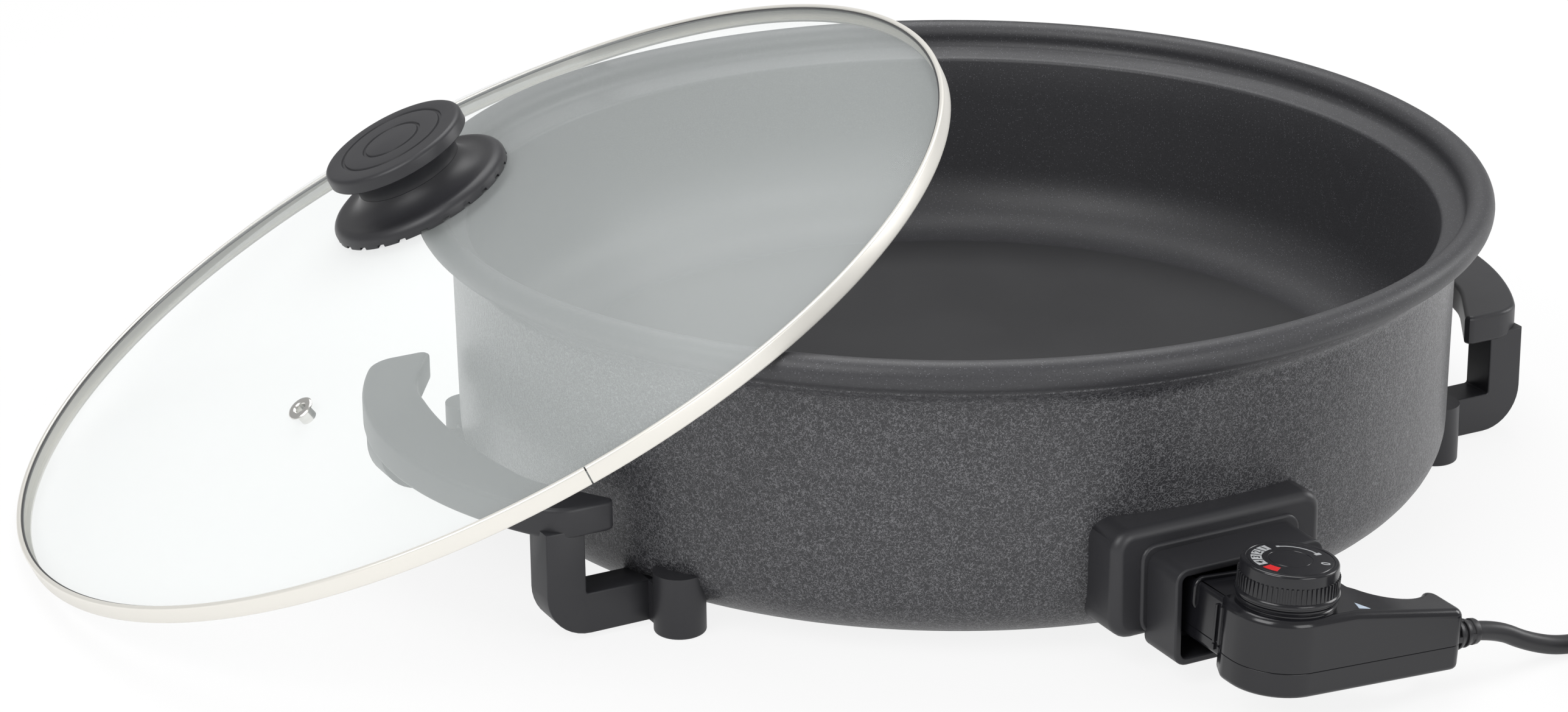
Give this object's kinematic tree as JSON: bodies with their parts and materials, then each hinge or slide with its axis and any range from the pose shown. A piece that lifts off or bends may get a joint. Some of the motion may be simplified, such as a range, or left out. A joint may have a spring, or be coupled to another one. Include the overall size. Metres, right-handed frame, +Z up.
{
  "type": "electric skillet",
  "caption": "Round electric frying pan with a lift-off domed glass lid leaning on its rim, loop brackets as feet, and a plug-in thermostat with a dial and lead.",
  "frame": {"origin": "on the surface that the feet stand on, under the centre of the round pan", "axes": "+Z up, +X through the right-hand bracket, -Y towards the thermostat socket"},
  "size_m": [0.6235, 0.6059, 0.1745],
  "materials": {
    "nonstick_enamel": "fine matt non-stick coating",
    "hammered_enamel": "hammered charcoal enamel with a pale wormy fleck",
    "steel": "zinc-plated",
    "phenolic": "satin phenolic moulding",
    "element_sheath": "oxidised sheath",
    "aluminium_sheet": "bright sheet",
    "ceramic": "unglazed ceramic",
    "nickel": "nickel plate",
    "lid_glass": "clear tempered glass",
    "band_steel": "bright stainless",
    "silicone": "soft seal",
    "plug_plastic": "glossy black moulding",
    "brass": "plain",
    "probe_steel": "polished stainless tube",
    "lead_rubber": "smooth flexible cable sheath"
  },
  "bodies": {
    "pan": {"inner_pan": "nonstick_enamel", "outer_shell": "hammered_enamel", "base_cover": "hammered_enamel", "base_screws": "steel", "right_bracket": "phenolic", "left_bracket": "phenolic", "bracket_screws": "steel", "bracket_nuts": "steel", "heating_element": "element_sheath", "element_clamps": "steel", "heat_reflector": "aluminium_sheet", "sensor_sleeve": "steel", "terminal_block": "ceramic", "terminal_pins": "nickel", "socket_flange": "phenolic", "socket_frame": "phenolic", "socket_screws": "steel"},
    "lid": {"lid_glass": "lid_glass", "lid_band": "band_steel", "knob_skirt": "phenolic", "knob_top": "phenolic", "knob_screw": "steel", "knob_washer": "silicone", "vent_eyelet": "nickel"},
    "thermostat": {"plug_upper_shell": "plug_plastic", "plug_lower_shell": "plug_plastic", "case_screws": "steel", "switch_block": "ceramic", "contact_sockets": "brass", "sensor_probe": "probe_steel", "dial_collar": "plug_plastic", "strain_relief": "lead_rubber", "cord_run": "lead_rubber", "cord_coil": "lead_rubber", "mains_plug_body": "lead_rubber", "mains_plug_pins": "nickel"},
    "dial": {"dial": "plug_plastic", "dial_shaft": "steel"}
  },
  "joints": [
    {"name": "lid_lift", "type": "slide", "parent": "pan", "child": "lid", "axis": [0, 0, 1], "range_m": [0, 0.13]},
    {"name": "thermostat_pull", "type": "slide", "parent": "pan", "child": "thermostat", "axis": [0, -1, 0], "range_m": [0, 0.11]},
    {"name": "dial_turn", "type": "hinge", "parent": "thermostat", "child": "dial", "pos_m": [-0.01401, -0.257, 0.04299], "axis": [0.075, 0, 0.9972], "range_deg": [0, 270]}
  ]
}
